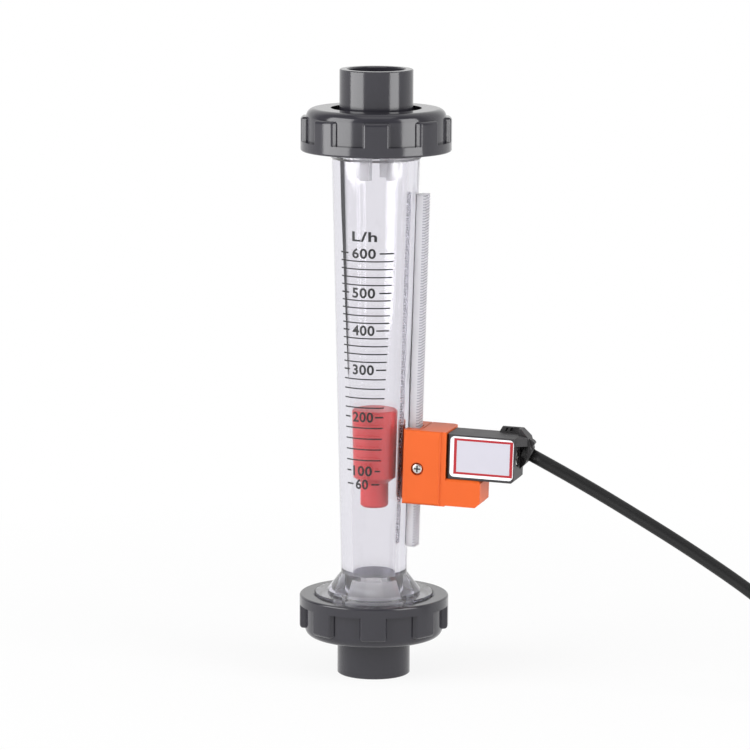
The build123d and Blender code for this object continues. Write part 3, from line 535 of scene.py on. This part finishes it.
class FLOWMETER_OT_cable(bpy.types.Operator):
    """Makes the cable from the alarm to its coil and its free end"""
    bl_idname = "flow_meter.cable"
    bl_label = "Cable"

    def execute(self, context):
        sizes = context.scene.flow_meter_cable
        colours = context.scene.flow_meter_colours
        end = math.radians(sizes.end_turn)
        outer = sizes.coil_r + sizes.diameter * (sizes.columns - 1) / 2
        middle = np.array([sizes.coil_x, sizes.coil_y, 0.0])
        start = middle + [outer * math.cos(end), outer * math.sin(end), sizes.gap + sizes.diameter / 2]
        way = np.array([-math.sin(end), math.cos(end), 0.0])
        joint = middle + [outer, 0, sizes.gap + 1.5 * sizes.diameter]
        points = np.vstack([
            [list(sizes.exit)], [list(sizes.first)], ROUTE, [joint], coil_points(sizes),
            [start, start + way * sizes.tail / 2, start + way * sizes.tail]])
        path = nurbs_path(points)
        # Soft PVC sheath, extruded: dark and satin, with faint unevenness along it
        material = moulded("cable_sheath_extruded", tuple(colours.cable), 0.46, 0.35, 0.015, 0.1,
                           {"Specular IOR Level": 0.35})
        dress(material, "cable_lead", "cable_coil", "cable_end")
        # Tinned copper, drawn: bright grey with a soft gloss
        dress(plated("tinned_copper_cores", linear("#C9C9C6"), 0.3), "cable_cores")
        # Nitrile rubber, moulded: dull black beside the glossier sheath
        dress(moulded("grommet_rubber_moulded", linear("#1E1D1E"), 0.55, 0.3, 0.02), "cable_grommet")
        shape, faces = tube_round(path / MM, sizes.diameter / 2, sizes.sides)
        cable = new_piece("cable_sheath", shape, faces, material)
        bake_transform(cable)
        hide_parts("cable_lead", "cable_coil", "cable_end")
        return {"FINISHED"}


class FLOWMETER_OT_tube(bpy.types.Operator):
    """Gives the measuring tube its clear moulded plastic"""
    bl_idname = "flow_meter.tube"
    bl_label = "Clear tube"

    def execute(self, context):
        colours = context.scene.flow_meter_colours
        dress(clear_styrene(colours, context.scene.flow_meter_scale, context.scene.flow_meter_tube),
              "measuring_tube")
        return {"FINISHED"}


class FLOWMETER_OT_fittings(bpy.types.Operator):
    """Gives the unions, sockets and seals their plastics and rubber"""
    bl_idname = "flow_meter.fittings"
    bl_label = "Pipe fittings"

    def execute(self, context):
        colours = context.scene.flow_meter_colours
        # Unplasticised PVC, injection moulded: satin, with a slight orange-peel skin that softens the strip lights
        pvc = moulded("grey_pvc_moulded", tuple(colours.grey), 0.13, 0.5, 0.010, 0.05)
        dress(pvc, "lower_end_connector", "upper_end_connector", "lower_union_nut", "upper_union_nut")
        # Nitrile rubber, moulded: dull black, seen only when a nut is off
        dress(moulded("seal_rubber_moulded", linear("#161616"), 0.6, 0.3, 0.01), "lower_o_ring", "upper_o_ring")
        return {"FINISHED"}


class FLOWMETER_OT_float(bpy.types.Operator):
    """Gives the float, its inner pieces and the float stops their finishes"""
    bl_idname = "flow_meter.float"
    bl_label = "Float and stops"

    def execute(self, context):
        colours = context.scene.flow_meter_colours
        # Pigmented polypropylene, injection moulded: clear bright red with a soft gloss behind the tube
        red = moulded("red_float_plastic", tuple(colours.red), 0.35, 0.5, 0.006, 0.06)
        dress(red, "float_body", "float_cap")
        # Ferrite, sintered: matt charcoal with a coarse grain
        dress(moulded("sintered_ferrite", linear("#3A3A3B"), 0.6, 0.2, 0.02), "float_magnet")
        # Steel, turned: grey metal with a satin gloss
        dress(plated("turned_weight_steel", linear("#A8A8A6"), 0.35), "float_weight")
        # Natural nylon, injection moulded: milky, so the light around it soaks through its thin legs
        white = moulded("natural_nylon_moulded", tuple(colours.stop), 0.45, 0.5, 0.008, 0.02,
                        {"Subsurface Weight": 1.0, "Subsurface Radius": (1, 1, 1), "Subsurface Scale": 0.004})
        dress(white, "lower_float_stop", "upper_float_stop")
        self.shoulders(context.scene.flow_meter_stop, white)
        return {"FINISHED"}

    def shoulders(self, sizes, material):
        """Two broad shoulders of the lower stop in the tube's flare: the rows go round the arc, the columns round
        the wall's section, and the two end rows are closed with one face each."""
        radius = np.array([sizes.foot_r, sizes.tip_r, sizes.tip_r - sizes.wall, sizes.foot_r - sizes.wall])
        level = np.array([sizes.foot_z, sizes.tip_z, sizes.tip_z, sizes.foot_z])
        arc = np.radians(np.linspace(-sizes.half_arc, sizes.half_arc, sizes.steps))[:, None]
        first = np.array([[0, 1, 2, 3]])
        last = first[:, ::-1] + 4 * (sizes.steps - 1)
        shell = np.concatenate([grid_faces(sizes.steps, 4, True)[:, ::-1], first, last])
        parts = []
        for turn in (sizes.turn, sizes.turn + 180):
            away = arc + math.radians(turn)
            points = np.stack([radius * np.cos(away), radius * np.sin(away), level + 0 * away], -1)
            parts.append((points.reshape(-1, 3), shell))
        new_piece("float_stop_shoulders", *joined(parts), material, "base")


class FLOWMETER_OT_scale(bpy.types.Operator):
    """Prints the lines, the numbers and the unit on the tube"""
    bl_idname = "flow_meter.scale"
    bl_label = "Printed scale"

    def execute(self, context):
        sizes = context.scene.flow_meter_scale
        # Pad-printing ink: matt, almost black, with a thin even skin
        ink = moulded("printed_ink", tuple(sizes.ink), 0.55, 0.2, 0.003)
        top = NUMBERED[0][1]

        def left(z):
            """Left end of a line: it moves evenly with the depth below the highest line."""
            return sizes.left_end + sizes.left_shift * (top - z)

        def right(z):
            """Right end of a line, in the same way."""
            return sizes.right_end - sizes.right_shift * (top - z)

        lines, figures = [], []
        for value, z, tick_end, number_start, number_width, tick_start in NUMBERED:
            lines.append(printed_line(sizes, left(z), tick_end, z, sizes.tick))
            lines.append(printed_line(sizes, tick_start, right(z), z, sizes.tick))
            figures.append(printed_words(sizes, str(value), number_start, number_width, z, sizes.number_height))
        for upper, lower in zip(NUMBERED, NUMBERED[1:]):
            if upper[0] - lower[0] < 100:
                continue
            for z in np.linspace(upper[1], lower[1], LINES_PER_HUNDRED + 1)[1:-1]:
                lines.append(printed_line(sizes, left(z), right(z), z, sizes.line))
        figures.append(printed_words(sizes, "L/h", sizes.unit_start, sizes.unit_width, sizes.unit_z,
                                     sizes.unit_height))
        for name, parts in (("scale_lines", lines), ("scale_figures", figures)):
            new_piece(name, *joined(parts), ink, "base")
        return {"FINISHED"}


class FLOWMETER_OT_alarm(bpy.types.Operator):
    """Gives the alarm's clamp, housing, screws, board and label their finishes"""
    bl_idname = "flow_meter.alarm"
    bl_label = "Alarm"

    def execute(self, context):
        colours = context.scene.flow_meter_colours
        # ABS, injection moulded: smooth and bright, with a satin gloss on its flat faces
        dress(moulded("orange_abs_moulded", tuple(colours.orange), 0.40, 0.7, 0.008, 0.05,
                      {"Specular IOR Level": 0.3}), "clamp_body")
        # Glass-filled nylon: a fine sparkle texture that breaks up its highlights
        dress(moulded("black_nylon_textured", tuple(colours.black), 0.48, 0.22, 0.02, 0.1),
              "sensor_housing", "sensor_cover")
        # Steel, zinc plated: bright, cool and mirror-like, so the screw heads catch the lamps
        dress(plated("bright_zinc_steel", linear("#D2D2D0"), 0.22), "clamp_screw", "clamp_nut", "sensor_screw")
        # Painted shade: a dull dark cross laid on the floor of the clamp screw's recess, standing in for the shade
        # inside the head's cross
        self.cross(context.scene.flow_meter_screw, plated("painted_recess_shade", linear("#3C3C3F"), 0.6))
        # Glass-fibre laminate with solder mask: even satin green
        dress(moulded("green_laminate", linear("#1C5A33"), 0.4, 0.4, 0.004), "circuit_board")
        # Glass, fire polished: pale green with a wet gloss
        dress(moulded("reed_glass", linear("#9DB8A2"), 0.1, 2.0, 0.001), "reed_switch")
        # Polyester film, screen printed: smooth and satin, with a faint unevenness
        dress(moulded("label_film", tuple(colours.label), 0.38, 1.2, 0.006, 0.02), "sensor_label")
        return {"FINISHED"}

    def cross(self, sizes, material):
        """Flat dark cross of painted shade on the floor of the clamp screw's recess: each arm takes three of its
        twelve corners.
        """
        long, thick = sizes.cross_length / 2, sizes.cross_width / 2
        arm = np.array([[long, -thick], [long, thick], [thick, thick]])
        turn = math.radians(sizes.turn) + np.arange(4) * math.pi / 2
        x = arm[:, 0] * np.cos(turn)[:, None] - arm[:, 1] * np.sin(turn)[:, None]
        z = arm[:, 0] * np.sin(turn)[:, None] + arm[:, 1] * np.cos(turn)[:, None]
        points = np.stack([sizes.middle[0] + x, sizes.middle[1] + 0 * x, sizes.middle[2] + z], -1).reshape(-1, 3)
        new_piece("clamp_screw_cross_shade", points, [list(range(12))], material, "alarm")


class FLOWMETER_OT_label(bpy.types.Operator):
    """Prints the bare label's frame and pale field"""
    bl_idname = "flow_meter.label"
    bl_label = "Label"

    def execute(self, context):
        sizes = context.scene.flow_meter_label
        colours = context.scene.flow_meter_colours
        x = [sizes.left + sizes.left_margin, sizes.right - sizes.right_margin]
        z = [sizes.bottom + sizes.bottom_margin, sizes.top - sizes.top_margin]
        inner_x = [x[0] + sizes.upright_bar, x[1] - sizes.upright_bar]
        inner_z = [z[0] + sizes.level_bar, z[1] - sizes.level_bar]
        # Screen-printing inks: thin, even and satin
        red = moulded("label_ink_red", tuple(colours.label_frame), 0.45, 0.3, 0.003, 0.04)
        pale = moulded("label_ink_pale", tuple(colours.label_field), 0.45, 0.3, 0.003, 0.02)
        bars = [
            self.panel(sizes, x[0], inner_x[0], z[0], z[1]),
            self.panel(sizes, inner_x[1], x[1], z[0], z[1]),
            self.panel(sizes, inner_x[0], inner_x[1], z[0], inner_z[0]),
            self.panel(sizes, inner_x[0], inner_x[1], inner_z[1], z[1]),
        ]
        new_piece("label_frame", *joined(bars), red, "alarm")
        new_piece("label_field", *joined([self.panel(sizes, *inner_x, *inner_z)]), pale, "alarm")
        return {"FINISHED"}

    def panel(self, sizes, x0, x1, z0, z1):
        """Flat panel on the label: x runs away from the wall and z along it, and both turn by the wall's lean."""
        x, z = np.meshgrid([x0, x1], [z0, z1])
        lean = math.radians(sizes.lean)
        across = sizes.middle[0] + x * math.cos(lean) + z * math.sin(lean)
        level = sizes.middle[2] - x * math.sin(lean) + z * math.cos(lean)
        points = np.stack([across, 0 * x - sizes.front - sizes.lift, level], -1)
        return points.reshape(-1, 3), grid_faces(2, 2)


class FLOWMETER_OT_stage(bpy.types.Operator):
    """Makes the camera, the floor, the lamps and the room light"""
    bl_idname = "flow_meter.stage"
    bl_label = "Stage"

    def execute(self, context):
        sizes = context.scene.flow_meter_stage
        scene = context.scene
        scene.view_settings.view_transform = "Standard"
        side, pitch, roll = (math.radians(a) for a in (sizes.side, sizes.pitch, sizes.roll))
        forward = Vector((-math.sin(side) * math.cos(pitch), math.cos(side) * math.cos(pitch), -math.sin(pitch)))
        across = Vector((math.cos(side), math.sin(side), 0))
        above = across.cross(forward)
        right = across * math.cos(roll) + above * math.sin(roll)
        up = above * math.cos(roll) - across * math.sin(roll)
        lens = bpy.data.cameras.new("camera")
        lens.lens = sizes.lens
        lens.sensor_width = 36
        lens.sensor_fit = "HORIZONTAL"
        lens.clip_end = 50
        camera = bpy.data.objects.new("camera", lens)
        stand = Vector((sizes.distance * math.sin(side), -sizes.distance * math.cos(side), sizes.height)) * MM
        camera.matrix_world = Matrix.Translation(stand) @ Matrix((right, up, -forward)).transposed().to_4x4()
        scene.collection.objects.link(camera)
        scene.camera = camera
        self.floor(sizes)
        self.room(sizes)
        self.dark_card(sizes, side)
        far, level = sizes.lamp_distance * MM, sizes.lamp_level * MM
        for name, turn, wide, tall in SIDE_LAMPS:
            away = side + math.radians(turn)
            self.lamp(name, (far * math.sin(away), -far * math.cos(away), level), (0, 0, level), wide, tall,
                      sizes.side_power * wide * tall)
        place, target, wide = OVERHEAD
        self.lamp("overhead", place, target, wide, wide, sizes.top_power)
        return {"FINISHED"}

    def lamp(self, name, place, target, wide, tall, power):
        """Rectangular area lamp that looks at a target."""
        light = bpy.data.lights.new(name, "AREA")
        light.shape = "RECTANGLE"
        light.size = wide
        light.size_y = tall
        light.energy = power
        lamp = bpy.data.objects.new(name, light)
        aim = Vector(target) - Vector(place)
        lamp.matrix_world = Matrix.Translation(Vector(place)) @ aim.to_track_quat("-Z", "Y").to_matrix().to_4x4()
        bpy.context.scene.collection.objects.link(lamp)

    def dark_card(self, sizes, side):
        """Curved black card at the left behind the meter, which only clear plastic shows: an upright grid whose
        columns go round the meter at an even distance, from an edge that leans out as the rows go down."""
        # Flocked card: no gloss, so the line that it draws in the wall is an even black
        material, tree = blank_material("card_black")
        black = add(tree, "ShaderNodeBsdfDiffuse", {"Color": (0.01, 0.01, 0.012, 1)})
        add(tree, "ShaderNodeOutputMaterial", None, {"Surface": (black, 0)})
        level, near = np.array(CARD_EDGE).T
        turn = np.linspace(near, np.full(len(near), sizes.card_far), sizes.card_columns, axis=1)
        turn = side + math.pi / 2 + np.radians(turn)
        far = sizes.card_distance
        points = np.stack([far * np.cos(turn), far * np.sin(turn), level[:, None] + 0 * turn], -1)
        card = new_piece("dark_card", points.reshape(-1, 3), grid_faces(*turn.shape).tolist(), material)
        card.visible_camera = False
        card.visible_diffuse = False
        card.visible_glossy = False
        card.visible_shadow = False

    def floor(self, sizes):
        """White floor: it shows as white to the camera, in gloss and through clear plastic, with a soft shadow."""
        # Backdrop paper: matt, with a weak grey shadow round the foot
        material, tree = blank_material("floor_paper")
        rays = add(tree, "ShaderNodeLightPath")
        first = add(tree, "ShaderNodeMath", {"operation": "MAXIMUM"},
                    {0: (rays, "Is Camera Ray"), 1: (rays, "Is Glossy Ray")})
        seen = add(tree, "ShaderNodeMath", {"operation": "MAXIMUM"}, {0: (first, 0), 1: (rays, "Is Transmission Ray")})
        # Near the foot part of the floor is lit paper, which keeps the shadow; farther off it is plain white
        place = add(tree, "ShaderNodeTexCoord")
        away = add(tree, "ShaderNodeVectorMath", {"operation": "LENGTH"}, {0: (place, "Object")})
        white = add(tree, "ShaderNodeMapRange",
                    {"From Min": sizes.shadow_start * MM, "From Max": sizes.shadow_end * MM,
                     "To Min": sizes.shadow_white, "To Max": 1.0}, {"Value": (away, "Value")})
        share = add(tree, "ShaderNodeMath", {"operation": "MULTIPLY"}, {0: (seen, 0), 1: (white, 0)})
        paper = add(tree, "ShaderNodeBsdfDiffuse", {"Color": (0.9, 0.9, 0.9, 1)})
        glow = add(tree, "ShaderNodeEmission", {"Color": (1, 1, 1, 1), "Strength": 1.0})
        mixed = add(tree, "ShaderNodeMixShader", None, {0: (share, 0), 1: (paper, 0), 2: (glow, 0)})
        add(tree, "ShaderNodeOutputMaterial", None, {"Surface": (mixed, 0)})
        turn = np.linspace(0, 2 * math.pi, sizes.floor_sides, endpoint=False)
        rim = np.stack([sizes.floor_r * np.cos(turn), sizes.floor_r * np.sin(turn), 0 * turn - sizes.floor_drop], -1)
        floor = new_piece("floor", rim, [list(range(sizes.floor_sides))], material)

    def room(self, sizes):
        """White surroundings at full strength where they are seen, and weaker as a light."""
        world = bpy.data.worlds.new("studio")
        bpy.context.scene.world = world
        world.use_nodes = True
        tree = world.node_tree
        tree.nodes.clear()
        rays = add(tree, "ShaderNodeLightPath")
        first = add(tree, "ShaderNodeMath", {"operation": "MAXIMUM"},
                    {0: (rays, "Is Camera Ray"), 1: (rays, "Is Transmission Ray")})
        place = add(tree, "ShaderNodeTexCoord")
        apart = add(tree, "ShaderNodeSeparateXYZ", None, {0: (place, "Generated")})
        # Gloss shows the white only where it faces the backdrop, so the other side stays dim
        behind = add(tree, "ShaderNodeMapRange",
                     {"From Min": 0.1, "From Max": 0.5, "To Min": 0.0, "To Max": 1.0}, {"Value": (apart, "Y")})
        backdrop = add(tree, "ShaderNodeMath", {"operation": "MULTIPLY"},
                       {0: (behind, 0), 1: (rays, "Is Glossy Ray")})
        shown = add(tree, "ShaderNodeMath", {"operation": "MAXIMUM"}, {0: (first, 0), 1: (backdrop, 0)})
        strength = add(tree, "ShaderNodeMapRange", {"To Min": sizes.room, "To Max": 1.0}, {"Value": (shown, 0)})
        back = add(tree, "ShaderNodeBackground", {"Color": (1, 1, 1, 1)}, {"Strength": (strength, 0)})
        add(tree, "ShaderNodeOutputWorld", None, {"Surface": (back, 0)})


class FLOWMETER_PT_panel(bpy.types.Panel):
    """Sizes, colours and steps of the flow meter"""
    bl_idname = "FLOWMETER_PT_panel"
    bl_label = "Flow meter"
    bl_space_type = "VIEW_3D"
    bl_region_type = "UI"
    bl_category = "Flow meter"

    def draw(self, context):
        for group, kind in GROUPS.items():
            box = self.layout.box()
            for name in kind.__annotations__:
                box.prop(getattr(context.scene, group), name)
        for step in STEPS:
            self.layout.operator(step.bl_idname)


STEPS = (FLOWMETER_OT_stage, FLOWMETER_OT_cable, FLOWMETER_OT_tube, FLOWMETER_OT_fittings,
         FLOWMETER_OT_float, FLOWMETER_OT_scale, FLOWMETER_OT_alarm, FLOWMETER_OT_label)


def register():
    for kind in (*GROUPS.values(), *STEPS, FLOWMETER_PT_panel):
        bpy.utils.register_class(kind)
    for name, kind in GROUPS.items():
        setattr(bpy.types.Scene, name, PointerProperty(type=kind))


def unregister():
    for name in GROUPS:
        delattr(bpy.types.Scene, name)
    for kind in reversed((*GROUPS.values(), *STEPS, FLOWMETER_PT_panel)):
        bpy.utils.unregister_class(kind)


def main():
    """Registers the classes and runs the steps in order."""
    register()
    bpy.ops.flow_meter.stage()
    bpy.ops.flow_meter.cable()
    bpy.ops.flow_meter.tube()
    bpy.ops.flow_meter.fittings()
    bpy.ops.flow_meter.float()
    bpy.ops.flow_meter.scale()
    bpy.ops.flow_meter.alarm()
    bpy.ops.flow_meter.label()


if __name__ == "__main__":
    main()
